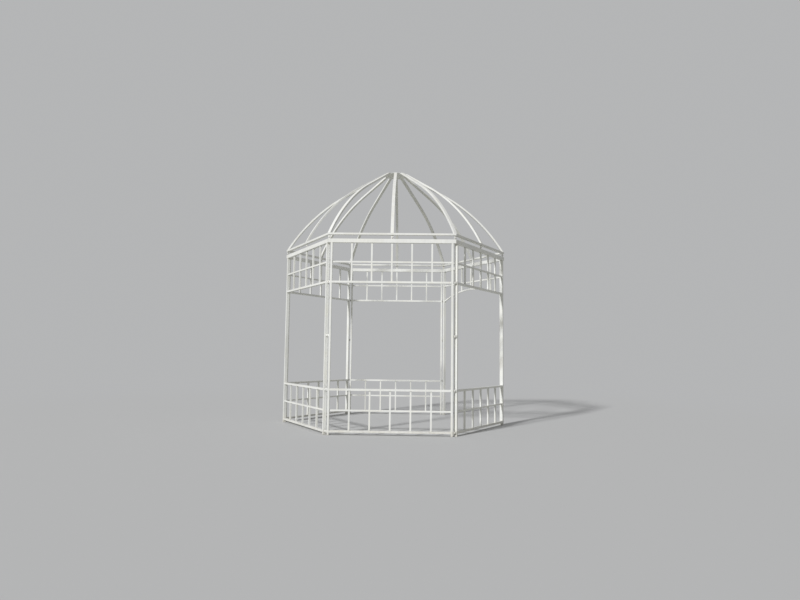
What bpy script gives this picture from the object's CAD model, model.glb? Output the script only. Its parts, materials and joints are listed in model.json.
import json
import math
import random

import bmesh
import bpy
from mathutils import Matrix, Vector, noise

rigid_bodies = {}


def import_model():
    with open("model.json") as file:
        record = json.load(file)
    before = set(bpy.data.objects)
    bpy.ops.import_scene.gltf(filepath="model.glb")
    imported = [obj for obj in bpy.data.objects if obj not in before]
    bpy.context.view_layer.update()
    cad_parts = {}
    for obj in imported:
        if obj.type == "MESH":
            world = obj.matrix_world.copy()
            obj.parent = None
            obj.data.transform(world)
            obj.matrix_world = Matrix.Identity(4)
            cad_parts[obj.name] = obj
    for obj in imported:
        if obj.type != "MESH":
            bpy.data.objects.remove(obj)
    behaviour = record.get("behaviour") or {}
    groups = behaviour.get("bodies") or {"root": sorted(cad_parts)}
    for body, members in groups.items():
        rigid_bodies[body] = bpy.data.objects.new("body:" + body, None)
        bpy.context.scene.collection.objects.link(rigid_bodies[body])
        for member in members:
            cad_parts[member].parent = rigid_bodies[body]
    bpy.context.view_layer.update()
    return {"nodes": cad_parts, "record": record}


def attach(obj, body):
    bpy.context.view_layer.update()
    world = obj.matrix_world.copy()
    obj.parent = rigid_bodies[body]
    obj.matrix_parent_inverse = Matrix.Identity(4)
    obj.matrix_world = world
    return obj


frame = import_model()
scene = bpy.context.scene
print("frame loaded,", len(frame["nodes"]), "nodes")

sideNames = ["front", "right_front", "right_back", "back", "left_back", "left_front"]
cornerNames = ["front_right", "right", "back_right", "back_left", "left", "front_left"]
entranceSide = 2  # the right back side, counted from 0


# Camera, standing where the photograph was taken from

cameraPlace = {
    "position": (0.294, -10.753, 1.2),
    "turn": 1.044,  # degrees, to the left of straight ahead
    "tilt": 4.936,  # degrees above level
    "roll": 0.695,
    "focal": 616.9,  # pixels
    "pictureWidth": 800,  # pixels
    "sensor": 36,
    "farthest": 200,
}


def makeCamera():
    data = bpy.data.cameras.new("gardenCamera")
    data.sensor_fit = "HORIZONTAL"
    data.sensor_width = cameraPlace["sensor"]
    data.lens = cameraPlace["sensor"] * cameraPlace["focal"] / cameraPlace["pictureWidth"]
    data.clip_end = cameraPlace["farthest"]
    camera = bpy.data.objects.new("gardenCamera", data)
    aim = Matrix.Rotation(math.radians(cameraPlace["turn"]), 4, "Z")
    aim = aim @ Matrix.Rotation(math.radians(90 + cameraPlace["tilt"]), 4, "X")
    aim = aim @ Matrix.Rotation(math.radians(cameraPlace["roll"]), 4, "Z")
    camera.matrix_world = Matrix.Translation(cameraPlace["position"]) @ aim
    scene.collection.objects.link(camera)
    scene.camera = camera


makeCamera()
print("camera placed")


# Short ways to fill node trees


def feed(tree, node, inputs):
    for key, value in (inputs or {}).items():
        if isinstance(value, bpy.types.NodeSocket):
            tree.links.new(value, node.inputs[key])
        else:
            node.inputs[key].default_value = value
    return node


def put(tree, kind, inputs=None, **settings):
    node = tree.nodes.new("ShaderNode" + kind)
    for key, value in settings.items():
        setattr(node, key, value)
    return feed(tree, node, inputs)


def combine(tree, operation, first, *others):
    result = first
    for other in others:
        result = put(tree, "Math", {0: result, 1: other}, operation=operation).outputs[0]
    return result


def between(tree, value, low, high, start=0.0, end=1.0):
    sockets = {"Value": value, "From Min": low, "From Max": high, "To Min": start, "To Max": end}
    return put(tree, "MapRange", sockets, interpolation_type="SMOOTHSTEP").outputs["Result"]


def mixColor(tree, factor, a, b, way="MIX"):
    sockets = {"Factor": factor, "A": a, "B": b}
    return put(tree, "Mix", sockets, data_type="RGBA", blend_type=way).outputs["Result"]


# Studio, a pale floor that runs out into a plain background

studio = {
    "backdrop": (0.46, 0.465, 0.47),
    "floorSeen": (0.58, 0.585, 0.59),
    "floorBounce": (0.47, 0.475, 0.43),
    "fadeStart": 4.5,
    "fadeEnd": 13.0,
    "floorRadius": 80.0,
    "floorSides": 96,
    "skyColor": (1.0, 1.0, 1.0),
    "skyStrength": 0.35,
    "sunStrength": 2.66,
    "sunColor": (1.0, 0.998, 0.992),
    "sunSize": 5.0,  # degrees across
    "sunFromLeft": 36.0,  # degrees round from the front towards the left
    "sunHeight": 31.0,  # degrees above level
}


def seenDirectly(tree):
    rays = put(tree, "LightPath").outputs
    return combine(tree, "MAXIMUM", rays["Is Camera Ray"], rays["Is Glossy Ray"], rays["Is Transmission Ray"])


def makeSky():
    world = bpy.data.worlds.new("studioSky")
    world.use_nodes = True
    tree = world.node_tree
    tree.nodes.clear()
    light = put(tree, "Background", {"Color": (*studio["skyColor"], 1), "Strength": studio["skyStrength"]})
    shown = put(tree, "Background", {"Color": (*studio["backdrop"], 1), "Strength": 1})
    choose = put(tree, "MixShader", {0: seenDirectly(tree), 1: light.outputs[0], 2: shown.outputs[0]})
    put(tree, "OutputWorld", {"Surface": choose.outputs[0]})
    scene.world = world


def makeSun():
    data = bpy.data.lights.new("softSun", "SUN")
    data.energy = studio["sunStrength"]
    data.color = studio["sunColor"]
    data.angle = math.radians(studio["sunSize"])
    lamp = bpy.data.objects.new("softSun", data)
    aside = math.radians(studio["sunFromLeft"])
    height = math.radians(studio["sunHeight"])
    level = math.cos(height)
    toSun = Vector((-math.sin(aside) * level, -math.cos(aside) * level, math.sin(height)))
    lamp.matrix_world = toSun.to_track_quat("Z", "Y").to_matrix().to_4x4()
    scene.collection.objects.link(lamp)


def makeFloor():
    mesh = bpy.data.meshes.new("studioFloor")
    radius, sides = studio["floorRadius"], studio["floorSides"]
    points = [(0, 0, 0)]
    for i in range(sides):
        turn = 2 * math.pi * i / sides
        points.append((radius * math.cos(turn), radius * math.sin(turn), 0))
    mesh.from_pydata(points, [], [(0, 1 + i, 1 + (i + 1) % sides) for i in range(sides)])
    floor = bpy.data.objects.new("studioFloor", mesh)
    scene.collection.objects.link(floor)

    material = bpy.data.materials.new("studioFloor")
    material.use_nodes = True
    tree = material.node_tree
    tree.nodes.clear()
    seen = seenDirectly(tree)
    tint = mixColor(tree, seen, (*studio["floorBounce"], 1), (*studio["floorSeen"], 1))
    matte = put(tree, "BsdfDiffuse", {"Color": tint})
    far = put(tree, "Emission", {"Color": (*studio["backdrop"], 1)})
    spot = put(tree, "NewGeometry").outputs["Position"]
    distance = put(tree, "VectorMath", {0: spot}, operation="LENGTH").outputs["Value"]
    sockets = {"Value": distance, "From Min": studio["fadeStart"], "From Max": studio["fadeEnd"]}
    fade = put(tree, "MapRange", sockets, interpolation_type="SMOOTHERSTEP").outputs["Result"]
    share = combine(tree, "MULTIPLY", fade, seen)
    surface = put(tree, "MixShader", {0: share, 1: matte.outputs[0], 2: far.outputs[0]})
    put(tree, "OutputMaterial", {"Surface": surface.outputs[0]})
    mesh.materials.append(material)


makeSky()
makeSun()
makeFloor()
scene.view_settings.view_transform = "Standard"
print("studio ready")


# Rolled corners of the tubes, as modifiers on the CAD nodes

tubeCorners = {
    "radius": {"frame_paint": 0.0030, "lattice_paint": 0.0022, "roof_paint": 0.0030, "lug_paint": 0.0009},
    "steps": 3,
    "sharperThan": 25.0,  # degrees
    "joinWithin": 0.00001,
    "flatWithin": 0.3,  # degrees
    "shadeWeight": 60,
}


def smoothFacesGroup():
    group = bpy.data.node_groups.new("smoothFaces", "GeometryNodeTree")
    group.interface.new_socket("Geometry", in_out="INPUT", socket_type="NodeSocketGeometry")
    group.interface.new_socket("Geometry", in_out="OUTPUT", socket_type="NodeSocketGeometry")
    start = group.nodes.new("NodeGroupInput")
    smooth = group.nodes.new("GeometryNodeSetShadeSmooth")
    end = group.nodes.new("NodeGroupOutput")
    group.links.new(start.outputs[0], smooth.inputs["Geometry"])
    group.links.new(smooth.outputs[0], end.inputs[0])
    return group


smoothFaces = smoothFacesGroup()


def rollCorners(node, radius):
    join = node.modifiers.new("joinFaces", "WELD")
    join.merge_threshold = tubeCorners["joinWithin"]
    flat = node.modifiers.new("flatFaces", "DECIMATE")
    flat.decimate_type = "DISSOLVE"
    flat.angle_limit = math.radians(tubeCorners["flatWithin"])
    bend = node.modifiers.new("rolledCorners", "BEVEL")
    bend.width = radius
    bend.segments = tubeCorners["steps"]
    bend.limit_method = "ANGLE"
    bend.angle_limit = math.radians(tubeCorners["sharperThan"])
    soft = node.modifiers.new("smoothFaces", "NODES")
    soft.node_group = smoothFaces
    shade = node.modifiers.new("evenShading", "WEIGHTED_NORMAL")
    shade.keep_sharp = False
    shade.weight = tubeCorners["shadeWeight"]


slotOf = {part["node"]: part["material_slot"] for part in frame["record"]["subparts"]}
for name, node in frame["nodes"].items():
    rollCorners(node, tubeCorners["radius"][slotOf[name]])
print("tube corners rolled")


# Paint effects, each a node group that the paints share
# A noise is its scale, detail, roughness and height scale, which below 1 draws it out downwards
# Any other pair is the levels at which a mark starts and is full


def grain(tree, scale, detail, rough=0.55, drawn=1.0):
    here = put(tree, "TexCoord").outputs["Object"]
    vector = put(tree, "Mapping", {"Vector": here, "Scale": (1, 1, drawn)}).outputs["Vector"]
    sockets = {"Vector": vector, "Scale": scale, "Detail": detail, "Roughness": rough}
    return put(tree, "TexNoise", sockets).outputs[0]


def upward(tree):
    normal = put(tree, "NewGeometry").outputs["Normal"]
    return put(tree, "SeparateXYZ", {"Vector": normal}).outputs["Z"]


def upright(tree, pair):
    rise = put(tree, "Math", {0: upward(tree)}, operation="ABSOLUTE").outputs[0]
    return between(tree, rise, *pair)


def newGroup(name, inputs, outputs):
    group = bpy.data.node_groups.new(name, "ShaderNodeTree")
    for label, value in inputs.items():
        kind = "NodeSocketColor" if isinstance(value, tuple) else "NodeSocketFloat"
        group.interface.new_socket(label, in_out="INPUT", socket_type=kind).default_value = value
    for label in outputs:
        kind = "NodeSocketColor" if label == "Color" else "NodeSocketFloat"
        group.interface.new_socket(label, in_out="OUTPUT", socket_type=kind)
    start = group.nodes.new("NodeGroupInput")
    end = group.nodes.new("NodeGroupOutput")
    return group, start.outputs, end.inputs


# Slow drift of the white, a little darker here and a little creamier there

toneDrift = {
    "broadNoise": (2.3, 2.0),
    "broadShare": 0.6,
    "closeNoise": (34.0, 4.0, 0.62, 0.4),
    "closeShare": 0.4,
    "dark": (0.62, 0.36),
    "creamNoise": (5.1, 3.0),
    "cream": (0.42, 0.68),
    "creamColor": (0.985, 0.965, 0.90, 1),
}


def makeToneDrift():
    own = toneDrift
    given = {"Color": (1, 1, 1, 1), "Depth": 0.03, "Cream": 0.3}
    group, given, made = newGroup("toneDrift", given, ["Color"])
    broad = combine(group, "MULTIPLY", grain(group, *own["broadNoise"]), own["broadShare"])
    close = combine(group, "MULTIPLY", grain(group, *own["closeNoise"]), own["closeShare"])
    both = combine(group, "ADD", broad, close)
    darker = combine(group, "MULTIPLY", between(group, both, *own["dark"]), given["Depth"])
    sockets = {0: given["Color"], "Scale": combine(group, "SUBTRACT", 1.0, darker)}
    shaded = put(group, "VectorMath", sockets, operation="SCALE").outputs[0]
    creamy = between(group, grain(group, *own["creamNoise"]), *own["cream"])
    creamy = combine(group, "MULTIPLY", creamy, given["Cream"])
    group.links.new(mixColor(group, creamy, shaded, own["creamColor"], "MULTIPLY"), made["Color"])
    return group


# Film of enamel: orange peel, slack runs on upright faces and thicker patches, in metres of height

enamelFilm = {
    "peelNoise": (520.0, 2.0, 0.4),
    "runNoise": (120.0, 2.0, 0.5, 0.11),
    "run": (0.5, 0.72),
    "brokenNoise": (14.0, 2.0),
    "broken": (0.46, 0.62),
    "upright": (0.7, 0.2),
    "patchNoise": (46.0, 3.0),
    "thin": (0.55, 0.3),
}


def makeEnamelFilm():
    own = enamelFilm
    given = {"Peel": 0.000020, "Runs": 0.00010, "Patches": 0.00006}
    group, given, made = newGroup("enamelFilm", given, ["Height", "Thin"])
    peel = grain(group, *own["peelNoise"])
    runs = between(group, grain(group, *own["runNoise"]), *own["run"])
    broken = between(group, grain(group, *own["brokenNoise"]), *own["broken"])
    runs = combine(group, "MULTIPLY", runs, broken, upright(group, own["upright"]))
    patch = grain(group, *own["patchNoise"])
    peelHeight = combine(group, "MULTIPLY", peel, given["Peel"])
    runHeight = combine(group, "MULTIPLY", runs, given["Runs"])
    patchHeight = combine(group, "MULTIPLY", patch, given["Patches"])
    group.links.new(combine(group, "ADD", peelHeight, runHeight, patchHeight), made["Height"])
    group.links.new(between(group, patch, *own["thin"]), made["Thin"])
    return group


# Grey marks that rain draws down upright faces

rainStreaks = {
    "lineNoise": (3.0, 0.6, 0.045),  # without its scale, which comes from the width of the marks
    "washedNoise": (4.2, 2.0, 0.55, 0.3),
    "washed": (0.36, 0.66),
    "fewest": 0.78,
    "spreadGain": 0.36,
    "softness": 0.16,
    "upright": (0.85, 0.35),
}


def makeRainStreaks():
    own = rainStreaks
    group, given, made = newGroup("rainStreaks", {"Width": 0.014, "Spread": 0.5}, ["Mask"])
    lines = grain(group, combine(group, "DIVIDE", 1.0, given["Width"]), *own["lineNoise"])
    washed = between(group, grain(group, *own["washedNoise"]), *own["washed"])
    gain = combine(group, "MULTIPLY", given["Spread"], own["spreadGain"])
    low = combine(group, "SUBTRACT", own["fewest"], gain)
    lines = between(group, lines, low, combine(group, "ADD", low, own["softness"]))
    group.links.new(combine(group, "MULTIPLY", lines, washed, upright(group, own["upright"])), made["Mask"])
    return group


# Dust that lies on faces that look up

settledDust = {
    "level": (0.25, 0.9),
    "cloudNoise": (21.0, 5.0, 0.68),
    "cloudShare": 0.8,
    "cloudFull": 0.72,
}


def makeSettledDust():
    own = settledDust
    group, given, made = newGroup("settledDust", {"Patchy": 0.5}, ["Mask"])
    level = between(group, upward(group), *own["level"])
    start = combine(group, "MULTIPLY", given["Patchy"], own["cloudShare"])
    cloud = between(group, grain(group, *own["cloudNoise"]), start, own["cloudFull"])
    group.links.new(combine(group, "MULTIPLY", level, cloud), made["Mask"])
    return group


# Dirt that gathers where pieces meet

corneredDirt = {
    "open": (0.84, 0.30),
    "mottleNoise": (85.0, 4.0, 0.65),
    "mottle": (0.28, 0.62),
    "least": 0.35,
    "samples": 4,
}


def makeCorneredDirt():
    own = corneredDirt
    group, given, made = newGroup("corneredDirt", {"Reach": 0.02}, ["Mask"])
    hollow = put(group, "AmbientOcclusion", {"Distance": given["Reach"]}, samples=own["samples"])
    shut = between(group, hollow.outputs["AO"], *own["open"])
    mottle = between(group, grain(group, *own["mottleNoise"]), *own["mottle"], own["least"])
    group.links.new(combine(group, "MULTIPLY", shut, mottle), made["Mask"])
    return group


# Paint rubbed thin along corners, and a few chips in it

wornEdges = {
    "near": (0.80, 0.35),
    "wanderNoise": (17.0, 3.0),
    "rubbed": (0.4, 0.66),
    "chipped": (0.53, 0.6),
    "flakeNoise": (160.0, 4.0, 0.6),
    "flakeBase": 0.55,
    "flakeGain": 0.6,
    "fewest": 0.80,
    "chipGain": 0.14,
    "softness": 0.03,
    "samples": 4,
}


def makeWornEdges():
    own = wornEdges
    group, given, made = newGroup("wornEdges", {"Reach": 0.0035, "Chips": 0.4}, ["Rubbed", "Chipped"])
    edge = put(group, "AmbientOcclusion", {"Distance": given["Reach"]}, samples=own["samples"], inside=True)
    near = between(group, edge.outputs["AO"], *own["near"])
    wander = grain(group, *own["wanderNoise"])
    rubbed = combine(group, "MULTIPLY", near, between(group, wander, *own["rubbed"]))
    group.links.new(rubbed, made["Rubbed"])

    few = combine(group, "MULTIPLY", between(group, wander, *own["chipped"]), near, own["flakeGain"])
    flakes = grain(group, *own["flakeNoise"])
    flakes = combine(group, "MULTIPLY", flakes, combine(group, "ADD", own["flakeBase"], few))
    gain = combine(group, "MULTIPLY", given["Chips"], own["chipGain"])
    low = combine(group, "SUBTRACT", own["fewest"], gain)
    high = combine(group, "ADD", low, own["softness"])
    group.links.new(between(group, flakes, low, high), made["Chipped"])
    return group


# Rust freckles, and the brown stain that runs from them

rustSpots = {
    "patchNoise": (6.3, 3.0),
    "patch": (0.50, 0.72),
    "patchGain": 0.10,
    "dampGain": 0.14,
    "fewest": 0.86,
    "amountGain": 0.12,
    "freckleNoise": (150.0, 4.0, 0.6),
    "freckleSoftness": 0.04,
    "stainNoise": (60.0, 3.0, 0.6, 0.16),
    "stainWider": 0.05,
    "stainSoftness": 0.2,
}


def makeRustSpots():
    own = rustSpots
    group, given, made = newGroup("rustSpots", {"Amount": 0.3, "Damp": 0.0}, ["Rust", "Stain"])
    patches = between(group, grain(group, *own["patchNoise"]), *own["patch"])
    patches = combine(group, "MULTIPLY", patches, own["patchGain"])
    likely = combine(group, "ADD", patches, combine(group, "MULTIPLY", given["Damp"], own["dampGain"]))
    amount = combine(group, "MULTIPLY", given["Amount"], own["amountGain"])
    low = combine(group, "SUBTRACT", own["fewest"], amount, likely)
    freckles = grain(group, *own["freckleNoise"])
    high = combine(group, "ADD", low, own["freckleSoftness"])
    group.links.new(between(group, freckles, low, high), made["Rust"])

    stains = grain(group, *own["stainNoise"])
    low = combine(group, "SUBTRACT", low, own["stainWider"])
    high = combine(group, "ADD", low, own["stainSoftness"])
    group.links.new(between(group, stains, low, high), made["Stain"])
    return group


# Soil that rain splashes up from the ground

groundSplash = {
    "edgeNoise": (24.0, 4.0, 0.7),
    "fullShare": 0.35,
    "dropNoise": (210.0, 3.0, 0.6),
    "drop": (0.38, 0.62),
    "least": 0.35,
}


def makeGroundSplash():
    own = groundSplash
    group, given, made = newGroup("groundSplash", {"Height": 0.25}, ["Mask"])
    here = put(group, "TexCoord").outputs["Object"]
    level = put(group, "SeparateXYZ", {"Vector": here}).outputs["Z"]
    ragged = combine(group, "MULTIPLY", grain(group, *own["edgeNoise"]), given["Height"])
    full = combine(group, "MULTIPLY", given["Height"], own["fullShare"])
    fade = between(group, combine(group, "ADD", level, ragged), given["Height"], full)
    drops = between(group, grain(group, *own["dropNoise"]), *own["drop"], own["least"])
    group.links.new(combine(group, "MULTIPLY", fade, drops), made["Mask"])
    return group


effects = {
    "drift": makeToneDrift(),
    "film": makeEnamelFilm(),
    "streaks": makeRainStreaks(),
    "dust": makeSettledDust(),
    "corners": makeCorneredDirt(),
    "edges": makeWornEdges(),
    "rust": makeRustSpots(),
    "splash": makeGroundSplash(),
}


def effect(tree, name, inputs=None):
    node = tree.nodes.new("ShaderNodeGroup")
    node.node_tree = effects[name]
    return feed(tree, node, inputs).outputs


# The four paints

grimeColors = {
    "streak": (0.47, 0.47, 0.43, 1),
    "dust": (0.60, 0.57, 0.49, 1),
    "corner": (0.33, 0.32, 0.27, 1),
    "soil": (0.34, 0.29, 0.22, 1),
    "primer": (0.46, 0.45, 0.43, 1),
    "stain": (0.56, 0.38, 0.22, 1),
    "rust": (0.20, 0.085, 0.035, 1),
}
grimeFeel = {
    "chipCover": 0.90,  # share of the paint's colour that a mark hides
    "rustCover": 0.92,
    "dustDull": 0.22,  # roughness that a mark adds
    "thinDull": 0.08,
    "soilDull": 0.50,
    "bareDull": 0.35,
    "chipDepth": 0.00012,  # metres
    "rustHeight": 0.00009,
    "soilHeight": 0.00004,
}
framePaint = {
    "name": "frameEnamel",
    "color": (0.86, 0.865, 0.85), "roughness": 0.45, "coat": 0.14, "coatRoughness": 0.34,
    "drift": 0.09, "cream": 0.45, "peel": 0.000030, "runs": 0.00028, "patches": 0.00016,
    "streaks": 0.34, "streakWidth": 0.012, "dust": 0.34, "corner": 0.62, "splash": 0.42, "splashHeight": 0.26,
    "rubbed": 0.34, "chips": 0.7, "rust": 0.75, "stain": 0.42,
}
latticePaint = {
    "name": "latticeEnamel",
    "color": (0.86, 0.865, 0.85), "roughness": 0.47, "coat": 0.12, "coatRoughness": 0.36,
    "drift": 0.10, "cream": 0.50, "peel": 0.000026, "runs": 0.00020, "patches": 0.00018,
    "streaks": 0.30, "streakWidth": 0.008, "dust": 0.36, "corner": 0.70, "splash": 0.44, "splashHeight": 0.28,
    "rubbed": 0.38, "chips": 0.8, "rust": 0.8, "stain": 0.45,
}
roofPaint = {
    "name": "roofEnamel",
    "color": (0.84, 0.845, 0.83), "roughness": 0.53, "coat": 0.07, "coatRoughness": 0.42,
    "drift": 0.11, "cream": 0.42, "peel": 0.000034, "runs": 0.00016, "patches": 0.00020,
    "streaks": 0.38, "streakWidth": 0.010, "dust": 0.34, "corner": 0.66, "splash": 0.0, "splashHeight": 0.2,
    "rubbed": 0.42, "chips": 0.75, "rust": 0.8, "stain": 0.48,
}
lugPaint = {
    "name": "lugEnamel",
    "color": (0.86, 0.865, 0.85), "roughness": 0.42, "coat": 0.18, "coatRoughness": 0.32,
    "drift": 0.09, "cream": 0.55, "peel": 0.000040, "runs": 0.00022, "patches": 0.00022,
    "streaks": 0.30, "streakWidth": 0.006, "dust": 0.32, "corner": 0.75, "splash": 0.38, "splashHeight": 0.26,
    "rubbed": 0.48, "chips": 1.0, "rust": 1.15, "stain": 0.60,
}


def mixPaint(look):
    material = bpy.data.materials.new(look["name"])
    material.use_nodes = True
    tree = material.node_tree
    shader = tree.nodes["Principled BSDF"]
    shader.inputs["Coat Weight"].default_value = look["coat"]
    shader.inputs["Coat Roughness"].default_value = look["coatRoughness"]

    tone = {"Color": (*look["color"], 1), "Depth": look["drift"], "Cream": look["cream"]}
    drift = effect(tree, "drift", tone)
    film = effect(tree, "film", {"Peel": look["peel"], "Runs": look["runs"], "Patches": look["patches"]})
    streaks = effect(tree, "streaks", {"Width": look["streakWidth"]})
    dust = effect(tree, "dust")
    corners = effect(tree, "corners")
    edges = effect(tree, "edges", {"Chips": look["chips"]})
    splash = effect(tree, "splash", {"Height": look["splashHeight"]})
    damp = corners["Mask"]
    if look["splash"]:
        damp = combine(tree, "MAXIMUM", damp, splash["Mask"])
    rust = effect(tree, "rust", {"Amount": look["rust"], "Damp": damp})

    color = drift["Color"]
    layers = [
        ("primer", edges["Rubbed"], look["rubbed"]),
        ("streak", streaks["Mask"], look["streaks"]),
        ("dust", dust["Mask"], look["dust"]),
        ("corner", corners["Mask"], look["corner"]),
        ("stain", rust["Stain"], look["stain"]),
        ("soil", splash["Mask"], look["splash"]),
        ("primer", edges["Chipped"], grimeFeel["chipCover"]),
        ("rust", rust["Rust"], grimeFeel["rustCover"]),
    ]
    for name, mask, amount in layers:
        if amount:
            color = mixColor(tree, combine(tree, "MULTIPLY", mask, amount), color, grimeColors[name])
    tree.links.new(color, shader.inputs["Base Color"])

    soil = combine(tree, "MULTIPLY", splash["Mask"], look["splash"])
    bare = combine(tree, "MAXIMUM", edges["Chipped"], rust["Rust"])
    dulled = {"dustDull": dust["Mask"], "thinDull": film["Thin"], "soilDull": soil, "bareDull": bare}
    dull = [combine(tree, "MULTIPLY", mask, grimeFeel[name]) for name, mask in dulled.items()]
    sockets = {0: combine(tree, "ADD", *dull), 1: look["roughness"]}
    rough = put(tree, "Math", sockets, operation="ADD", use_clamp=True)
    tree.links.new(rough.outputs[0], shader.inputs["Roughness"])

    chips = combine(tree, "MULTIPLY", edges["Chipped"], grimeFeel["chipDepth"])
    scabs = combine(tree, "MULTIPLY", rust["Rust"], grimeFeel["rustHeight"])
    crust = combine(tree, "MULTIPLY", soil, grimeFeel["soilHeight"])
    height = combine(tree, "ADD", combine(tree, "SUBTRACT", film["Height"], chips), scabs, crust)
    bump = put(tree, "Bump", {"Height": height, "Strength": 1.0, "Distance": 1.0})
    tree.links.new(bump.outputs["Normal"], shader.inputs["Normal"])
    return material


paints = {
    "frame_paint": mixPaint(framePaint),
    "lattice_paint": mixPaint(latticePaint),
    "roof_paint": mixPaint(roofPaint),
    "lug_paint": mixPaint(lugPaint),
}
for name, node in frame["nodes"].items():
    for slot in node.material_slots:
        slot.material = paints[slotOf[name]]
print("paint laid on")


# Sizes that the added pieces share with the CAD model, in metres

tube = {
    "halfClear": 0.8875,
    "halfPanel": 0.9175,
    "middle": 1.634157,
    "depth": 0.05,
    "face": 0.03,
    "bar": 0.025,
    "cell": 0.275,
    "bottomRail": 0.04,
    "topRail": 0.645,
    "friezeRail": 2.235,
    "headRail": 2.84,
    "headTop": 2.90,
    "ring": 2.96,
    "ringTop": 2.99,
    "lugWidth": 0.036,
    "lugThick": 0.006,
}
sideTurn = 60  # degrees from one side to the next
halfTurn = math.radians(sideTurn / 2)
cornerMiddle = tube["middle"] / math.cos(halfTurn)
barPlaces = [-2, -1, 0, 1, 2]  # lattice bars, counted from the middle of a panel
lugLevels = [0.055, 0.660, 1.455, 2.250]
alongX, alongY, alongZ = Vector((1, 0, 0)), Vector((0, 1, 0)), Vector((0, 0, 1))


def newShape():
    return {"points": [], "faces": []}


def addRows(shape, rows, looped=False):
    first = len(shape["points"])
    wide = len(rows[0])
    for row in rows:
        shape["points"].extend(row)
    last = len(rows) if looped else len(rows) - 1
    for i in range(last):
        here, there = first + i * wide, first + (i + 1) % len(rows) * wide
        for j in range(wide):
            k = (j + 1) % wide
            shape["faces"].append((here + j, here + k, there + k, there + j))
    if not looped:
        shape["faces"].append(tuple(first + j for j in range(wide)))
        shape["faces"].append(tuple(first + last * wide + j for j in range(wide)))


def makePiece(name, shape, slotName, turn):
    mesh = bpy.data.meshes.new(name)
    mesh.from_pydata(shape["points"], [], shape["faces"])
    mesh.transform(Matrix.Rotation(math.radians(turn), 4, "Z"))
    work = bmesh.new()
    work.from_mesh(mesh)
    bmesh.ops.recalc_face_normals(work, faces=work.faces)
    for face in work.faces:
        face.smooth = True
    work.to_mesh(mesh)
    work.free()
    piece = bpy.data.objects.new(name, mesh)
    scene.collection.objects.link(piece)
    piece.data.materials.append(paints[slotName])
    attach(piece, "root")


# Weld beads

weld = {
    "rowStep": 0.00125,  # half the length of a ripple
    "ripple": 0.20,  # how much each ripple stands out
    "uneven": 0.16,
    "unevenScale": 110,
    "bulge": 0.28,
    "sectionSteps": 5,
    "fewestRows": 4,
    "endSize": 0.06,
    "endGrowth": 1.6,
    "inset": 0.001,  # from a tube's side to the end of a bead
    "barLeg": 0.0036,
    "barCorner": 0.0022,
    "lugLeg": 0.0026,
    "lugCorner": 0.0009,
    "tubeLeg": 0.0045,
    "cornerSteps": 4,
    "seamWidth": 0.0070,
    "barSeam": 0.0050,
    "ringSeam": 0.0060,
    "seamEnd": 0.2,  # share of the width that is left where a bead shrinks
    "seamHeight": 0.0009,
    "seamRoot": 0.0028,
    "sink": 0.00025,  # how far a bead's edges lie inside the tubes
}


def beadSize(leg, spot, i):
    uneven = weld["uneven"] * noise.noise(spot * weld["unevenScale"])
    return leg * (1 + weld["ripple"] * (i % 2 - 0.5) + uneven)


def roundEnd(t, length, width):
    return math.sqrt(min(1, weld["endSize"] + weld["endGrowth"] * min(t, 1 - t) * length / width))


def rowCount(run):
    return max(weld["fewestRows"], round(run.length / weld["rowStep"]) + 1)


def filletRow(centre, sideA, sideB, size):
    steps = weld["sectionSteps"]
    outward = (sideA + sideB).normalized()
    row = []
    for j in range(steps + 1):
        s = j / steps
        point = centre + sideA * (size * (1 - s)) + sideB * (size * s)
        point += outward * (weld["bulge"] * size * math.sin(math.pi * s))
        row.append(point - sideB * (weld["sink"] * (1 - s)) - sideA * (weld["sink"] * s))
    row.append(centre - outward * weld["sink"] * 2)
    return row


def addFillet(shape, start, end, sideA, sideB, leg, bend=None):
    run = end - start
    count = rowCount(run)
    rows = []
    for i in range(count):
        t = i / (count - 1)
        spot = start + run * t
        if bend:
            spot += bend(spot)
        rows.append(filletRow(spot, sideA, sideB, beadSize(leg, spot, i) * roundEnd(t, run.length, leg)))
    addRows(shape, rows)


def addFilletLoop(shape, centre, axisU, axisV, halfU, halfV, corner, up, leg):
    steps = weld["cornerSteps"]
    path = []
    for side, (u, v) in enumerate([(1, 1), (-1, 1), (-1, -1), (1, -1)]):
        hub = centre + axisU * (u * (halfU - corner)) + axisV * (v * (halfV - corner))
        for q in range(steps + 1):
            angle = math.radians(90 * side + 90 * q / steps)
            out = axisU * math.cos(angle) + axisV * math.sin(angle)
            path.append((hub + out * corner, out))
    rows = []
    for a, (spot, out) in enumerate(path):
        nextSpot, nextOut = path[(a + 1) % len(path)]
        parts = max(1, round((nextSpot - spot).length / weld["rowStep"]))
        for i in range(parts):
            here = spot.lerp(nextSpot, i / parts)
            facing = out.lerp(nextOut, i / parts).normalized()
            rows.append(filletRow(here, facing, up, beadSize(leg, here, len(rows))))
    addRows(shape, rows, looped=True)


def addSeam(shape, start, end, across, out, width):
    run = end - start
    steps = weld["sectionSteps"]
    count = rowCount(run)
    rows = []
    for i in range(count):
        t = i / (count - 1)
        spot = start + run * t
        size = beadSize(1, spot, i) * roundEnd(t, run.length, width)
        spread = width / 2 * (weld["seamEnd"] + (1 - weld["seamEnd"]) * size)
        row = []
        for j in range(steps + 1):
            s = 2 * j / steps - 1
            lift = weld["seamHeight"] * size * (1 - s * s) - weld["sink"]
            row.append(spot + across * (s * spread) + out * lift)
        row.append(spot - out * weld["seamRoot"])
        rows.append(row)
    addRows(shape, rows)


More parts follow.
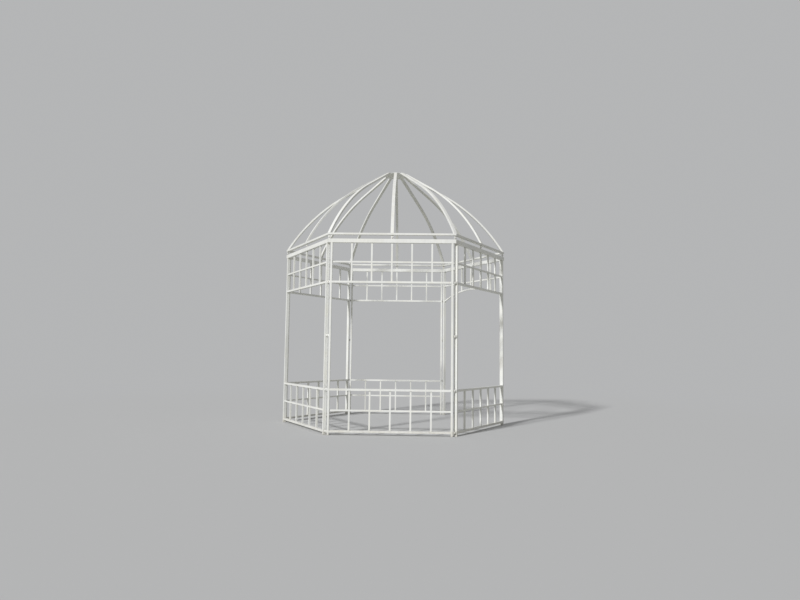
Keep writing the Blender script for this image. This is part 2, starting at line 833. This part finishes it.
def weldCrossing(shape, x, z):
    half = tube["bar"] / 2
    for up in (-1, 1):
        level = z + up * half
        for left in (-1, 1):
            corner = Vector((x + left * half, -tube["middle"], level))
            reach = alongY * (half - weld["inset"])
            addFillet(shape, corner - reach, corner + reach, alongX * left, alongZ * up, weld["barLeg"])
            face = Vector((x, -tube["middle"] + left * half, level))
            reach = alongX * (half - weld["inset"])
            addSeam(shape, face - reach, face + reach, alongZ, alongY * left, weld["barSeam"])


def weldBarLoop(shape, end, axisU, axisV, up):
    half = tube["bar"] / 2
    addFilletLoop(shape, end, axisU, axisV, half, half, weld["barCorner"], up, weld["barLeg"])


def weldTubeEnd(shape, centre, axis, wide, halfWide, halfDepth):
    for side in (-1, 1):
        corner = centre + wide * (side * halfWide)
        reach = alongY * (halfDepth - 2 * weld["inset"])
        addFillet(shape, corner - reach, corner + reach, wide * side, axis, weld["tubeLeg"])
        face = centre + alongY * (side * halfDepth)
        reach = wide * (halfWide - weld["inset"])
        addSeam(shape, face - reach, face + reach, axis, alongY * side, weld["seamWidth"])


def weldRail(shape, z):
    half = tube["face"] / 2
    for side in (-1, 1):
        end = Vector((side * tube["halfClear"], -tube["middle"], z + half))
        weldTubeEnd(shape, end, alongX * -side, alongZ, half, tube["depth"] / 2)


def weldLatticeEnds(shape, z):
    for side in (-1, 1):
        end = Vector((side * tube["halfClear"], -tube["middle"], z))
        weldBarLoop(shape, end, alongY, alongZ, alongX * -side)


def weldBarEnd(shape, x, z, up):
    weldBarLoop(shape, Vector((x, -tube["middle"], z)), alongX, alongY, alongZ * up)


def panelWelds(k):
    shape = newShape()
    pitch = tube["cell"] + tube["bar"]
    across = [pitch * i for i in barPlaces]
    toMiddle = tube["face"] + tube["cell"] + tube["bar"] / 2
    lowMiddle = tube["bottomRail"] + toMiddle
    highMiddle = tube["friezeRail"] + toMiddle
    if k != entranceSide:
        weldRail(shape, tube["bottomRail"])
        weldRail(shape, tube["topRail"])
        weldRail(shape, tube["friezeRail"])
        weldLatticeEnds(shape, lowMiddle)
        for x in across:
            weldCrossing(shape, x, lowMiddle)
            weldBarEnd(shape, x, tube["bottomRail"] + tube["face"], 1)
            weldBarEnd(shape, x, tube["topRail"], -1)
            weldBarEnd(shape, x, tube["friezeRail"] + tube["face"], 1)
    else:
        weldArch(shape, across)
    weldLatticeEnds(shape, highMiddle)
    for x in across:
        weldCrossing(shape, x, highMiddle)
        weldBarEnd(shape, x, tube["headRail"], -1)
    half = tube["face"] / 2
    for side in (-1, 1):
        top = Vector((side * (tube["halfPanel"] - half), -tube["middle"], tube["headRail"]))
        weldTubeEnd(shape, top, -alongZ, alongX, half, tube["depth"] / 2)
    return shape


arch = {
    "inner": 2.40160,  # radius of the underside
    "centre": 0.00340,  # level that the radius is measured from
    "sideBead": 0.0145,  # its middle, above the underside of the friezes
    "sideReach": 0.012,
}


def archLevel(radius, x):
    return arch["centre"] + math.sqrt(radius * radius - x * x)


def weldArch(shape, across):
    half = tube["bar"] / 2
    inner, outer = arch["inner"], arch["inner"] + tube["bar"]
    reach = alongY * (half - weld["inset"])
    for x in across:
        for side in (-1, 1):
            edge = x + side * half
            level = archLevel(outer, edge)
            slope = Vector((side, 0, -side * edge / (level - arch["centre"]))).normalized()
            corner = Vector((edge, -tube["middle"], level))
            addFillet(shape, corner - reach, corner + reach, slope, alongZ, weld["barLeg"])
            ends = []
            for end in (-1, 1):
                at = x + end * (half - weld["inset"])
                ends.append(Vector((at, -tube["middle"] + side * half, archLevel(outer, at))))
            addSeam(shape, ends[0], ends[1], alongZ, alongY * side, weld["barSeam"])
    x = tube["halfClear"]
    for side in (-1, 1):
        for radius, way in ((inner, -1), (outer, 1)):
            level = archLevel(radius, x)
            if way < 0:
                level = max(level, tube["friezeRail"])
            slope = Vector((-side * (level - arch["centre"]), 0, x)).normalized()
            corner = Vector((side * x, -tube["middle"], level))
            addFillet(shape, corner - reach, corner + reach, alongZ * way, slope, weld["barLeg"])
        face = Vector((side * x, 0, tube["friezeRail"] + arch["sideBead"]))
        rise = alongZ * arch["sideReach"]
        for way in (-1, 1):
            at = face + alongY * (-tube["middle"] + way * half)
            addFillet(shape, at - rise, at + rise, alongY * way, alongX * -side, weld["barLeg"])


# Bolts, washers and nuts

bolt = {
    "hexHeight": 0.0064,
    "acrossFlats": 0.017,
    "hexSteps": 48,
    "hexCrown": 0.95,  # radius of the round top, as a share of half the flats
    "hexCorner": 1.135,
    "chamfer": 30,  # degrees
    "dishRim": 0.0056,
    "dishFloor": 0.0048,
    "dishDepth": 0.0006,
    "nutHeight": 0.0084,
    "nutTurn": 1.7,
    "washerRadius": 0.010,
    "washerHole": 0.0052,
    "washerHeight": 0.002,
    "washerSteps": 40,
    "lowBevel": 0.0003,
    "topBevel": 0.0004,
    "threadRadius": 0.005,
    "threadPitch": 0.0015,
    "threadDepth": 0.0006,
    "threadEnd": 0.0042,
    "threadOverlap": 0.001,
    "threadSteps": 24,
    "threadSlices": 14,
    "tipBevel": 0.0007,
    "tipSlope": 0.8,
    "turnSeed": 11,
}


def ringAngles(steps):
    return [2 * math.pi * i / steps for i in range(steps)]


def addLathe(shape, profile, steps, place):
    rows = []
    for radius, height in profile:
        row = []
        for angle in ringAngles(steps):
            row.append(place @ Vector((radius * math.cos(angle), radius * math.sin(angle), height)))
        rows.append(row)
    addRows(shape, rows)


def addHex(shape, place, low, high, turn, dished):
    flat = bolt["acrossFlats"] / 2
    crown = flat * bolt["hexCrown"]
    way = 1 if high > low else -1
    sixth = math.radians(60)
    foot, shoulder, rim, inner, bottom = [], [], [], [], []
    for angle in ringAngles(bolt["hexSteps"]):
        toFlat = (angle + sixth / 2) % sixth - sixth / 2
        radius = min(flat / math.cos(toFlat), flat * bolt["hexCorner"])
        drop = max(0, radius - crown) * math.tan(math.radians(bolt["chamfer"]))
        ray = Vector((math.cos(angle + turn), math.sin(angle + turn), 0))
        foot.append(place @ (ray * radius + alongZ * low))
        shoulder.append(place @ (ray * radius + alongZ * (high - way * drop)))
        rim.append(place @ (ray * crown + alongZ * high))
        inner.append(place @ (ray * bolt["dishRim"] + alongZ * high))
        bottom.append(place @ (ray * bolt["dishFloor"] + alongZ * (high - way * bolt["dishDepth"])))
    rows = [foot, shoulder, rim]
    if dished:
        rows += [inner, bottom]
    addRows(shape, rows)


def addThread(shape, place, start, end):
    steps, slices = bolt["threadSteps"], bolt["threadSlices"]
    rows = []
    for r in range(slices + 1):
        height = start + (end - start) * r / slices
        tip = bolt["threadRadius"] - bolt["tipBevel"] + abs(end - height) * bolt["tipSlope"]
        row = []
        for i, angle in enumerate(ringAngles(steps)):
            phase = (height / bolt["threadPitch"] + i / steps) % 1
            radius = bolt["threadRadius"] - bolt["threadDepth"] * abs(2 * phase - 1)
            radius = min(radius, tip)
            row.append(place @ Vector((radius * math.cos(angle), radius * math.sin(angle), height)))
        rows.append(row)
    addRows(shape, rows)


def addBolt(shape, place, turn):
    lug, hole, wide = tube["lugThick"], bolt["washerHole"], bolt["washerRadius"]
    low, top = bolt["lowBevel"], bolt["topBevel"]
    start = lug + bolt["washerHeight"]
    washer = [(hole, lug), (wide - low, lug), (wide, lug + low)]
    washer += [(wide, start - top), (wide - top, start), (hole, start)]
    for way in (1, -1):
        profile = [(radius, way * height) for radius, height in washer]
        addLathe(shape, profile, bolt["washerSteps"], place)
    addHex(shape, place, start, start + bolt["hexHeight"], turn, False)
    nutEnd = -start - bolt["nutHeight"]
    addHex(shape, place, -start, nutEnd, turn * bolt["nutTurn"], True)
    addThread(shape, place, nutEnd + bolt["threadOverlap"], nutEnd - bolt["threadEnd"])


def boltPlace(turn, radius, level):
    outward = Matrix.Rotation(math.radians(turn), 4, "Z") @ Matrix.Translation((0, -radius, level))
    return outward @ Matrix.Rotation(math.radians(90), 4, "X")


# Lug, ring and crown welds

cornerLug = {
    "rightFaces": (-1.64916, -1.64224),  # where a lug's two faces meet the upright, along Y
    "leftFaces": (-1.65609, -1.64916),
}
ringJoint = {"inset": 0.002, "seamLength": 0.054}
rib = {
    "halfWidth": 0.025,
    "middleFoot": 1.659157,
    "cornerFoot": 1.901398,
    "middleInner": 1.62555,
    "cornerInner": 1.86620,
    "middleLean": 26.4,  # degrees, of the outer face at the foot
    "cornerLean": 31.4,
    "middleSlope": 32.0,
    "cornerSlope": 29.5,
    "middleLap": 0.020,
    "cornerLap": 0.010,
    "plateRadius": 0.198,
    "plateLevel": 4.340,
    "footInset": 0.002,
    "cornerTrim": 0.007,  # keeps the front bead inside the ring's corner
    "seamSink": 0.0008,
}


def cornerLugWelds(shape):
    halfWidth = tube["lugWidth"] / 2
    corner, leg = weld["lugCorner"], weld["lugLeg"]
    for hand, faces in ((1, cornerLug["rightFaces"]), (-1, cornerLug["leftFaces"])):
        toBolt = Vector((hand * math.cos(halfTurn), math.sin(halfTurn), 0))
        middle = (faces[0] + faces[1]) / 2
        halfThick = (faces[1] - faces[0]) / 2
        for level in lugLevels:
            centre = Vector((hand * tube["halfPanel"], middle, level))
            addFilletLoop(shape, centre, alongY, alongZ, halfThick, halfWidth, corner, toBolt, leg)


def roundRim(spot):
    radius = rib["plateRadius"]
    return alongY * (radius - math.sqrt(radius ** 2 - spot.x ** 2))


def ribFootWelds(shape, kind):
    half, inset = rib["halfWidth"], weld["inset"]
    top = tube["ringTop"]
    foot, inner = rib[kind + "Foot"], rib[kind + "Inner"]
    lean = math.radians(rib[kind + "Lean"])
    up = Vector((0, math.sin(lean), math.cos(lean)))
    across = alongX * (2 * half - 2 * inset)
    for side in (-1, 1):
        start = Vector((side * half, -foot + rib["footInset"], top))
        addFillet(shape, start, Vector((side * half, -inner, top)), alongX * side, alongZ, weld["tubeLeg"])
    start = Vector((-half + inset, -inner, top))
    addFillet(shape, start, start + across, alongY, up, weld["tubeLeg"])
    start = Vector((-half + inset, -foot, top))
    if kind == "corner":
        trim = alongX * rib["cornerTrim"]
        addFillet(shape, start + trim, start + across - trim, -alongY, up, weld["tubeLeg"])
    else:
        facing = Vector((0, -math.cos(lean / 2), math.sin(lean / 2)))
        start -= facing * rib["seamSink"]
        along = Vector((0, facing.z, -facing.y))
        addSeam(shape, start, start + across, along, facing, weld["seamWidth"])


def ribHeadWelds(shape, kind):
    half, inset = rib["halfWidth"], weld["inset"]
    across = alongX * (2 * half - 2 * inset)
    start = Vector((-half + inset, -rib["plateRadius"], rib["plateLevel"]))
    addFillet(shape, start, start + across, -alongY, alongZ, weld["tubeLeg"], roundRim)
    start += alongY * rib[kind + "Lap"]
    slope = math.radians(rib[kind + "Slope"])
    outward = Vector((0, -math.cos(slope), -math.sin(slope)))
    addFillet(shape, start, start + across, alongY, outward, weld["tubeLeg"])


def lugFeet(shape, radius):
    halfWidth, halfThick = tube["lugWidth"] / 2, tube["lugThick"] / 2
    corner, leg = weld["lugCorner"], weld["barLeg"]
    for level, way in ((tube["ring"], -1), (tube["headTop"], 1)):
        foot = Vector((0, -radius + way * halfThick, level))
        addFilletLoop(shape, foot, alongX, alongY, halfWidth, halfThick, corner, alongZ * way, leg)


def ringCorner(shape):
    inner = (tube["middle"] - tube["depth"] / 2) / math.cos(halfTurn)
    left = Vector((-math.sin(2 * halfTurn), math.cos(2 * halfTurn), 0))
    right = Vector((-left.x, left.y, 0))
    inset = ringJoint["inset"]
    start = Vector((0, -inner, tube["ring"] + inset))
    rise = alongZ * (tube["ringTop"] - tube["ring"] - 2 * inset)
    addFillet(shape, start, start + rise, left, right, weld["tubeLeg"])
    for level, out in ((tube["ring"], -alongZ), (tube["ringTop"], alongZ)):
        start = Vector((0, -inner - inset, level))
        end = start - alongY * ringJoint["seamLength"]
        addSeam(shape, start, end, alongX, out, weld["ringSeam"])


# Every added piece, side by side and corner by corner

chance = random.Random(bolt["turnSeed"])
for k, side in enumerate(sideNames):
    shape = panelWelds(k)
    cornerLugWelds(shape)
    makePiece(side + "_panel_welds", shape, "lattice_paint", sideTurn * k)
    shape = newShape()
    ribFootWelds(shape, "middle")
    ribHeadWelds(shape, "middle")
    lugFeet(shape, tube["middle"])
    makePiece(side + "_rib_welds", shape, "roof_paint", sideTurn * k)
for k, corner in enumerate(cornerNames):
    turn = sideTurn * (k + 0.5)
    shape = newShape()
    ribFootWelds(shape, "corner")
    ribHeadWelds(shape, "corner")
    lugFeet(shape, cornerMiddle)
    ringCorner(shape)
    makePiece(corner + "_rib_welds", shape, "roof_paint", turn)
    shape = newShape()
    for level in lugLevels:
        addBolt(shape, boltPlace(turn, cornerMiddle, level), chance.uniform(0, 1))
    makePiece(corner + "_corner_bolts", shape, "lug_paint", 0)
shape = newShape()
ringBoltLevel = (tube["headTop"] + tube["ring"]) / 2
for k in range(len(sideNames) + len(cornerNames)):
    radius = cornerMiddle if k % 2 else tube["middle"]
    addBolt(shape, boltPlace(sideTurn / 2 * k, radius, ringBoltLevel), chance.uniform(0, 1))
makePiece("ring_bolts", shape, "lug_paint", 0)
faceCount = sum(len(thing.data.polygons) for thing in bpy.data.objects if thing.type == "MESH")
print("welds and bolts added,", faceCount, "faces")
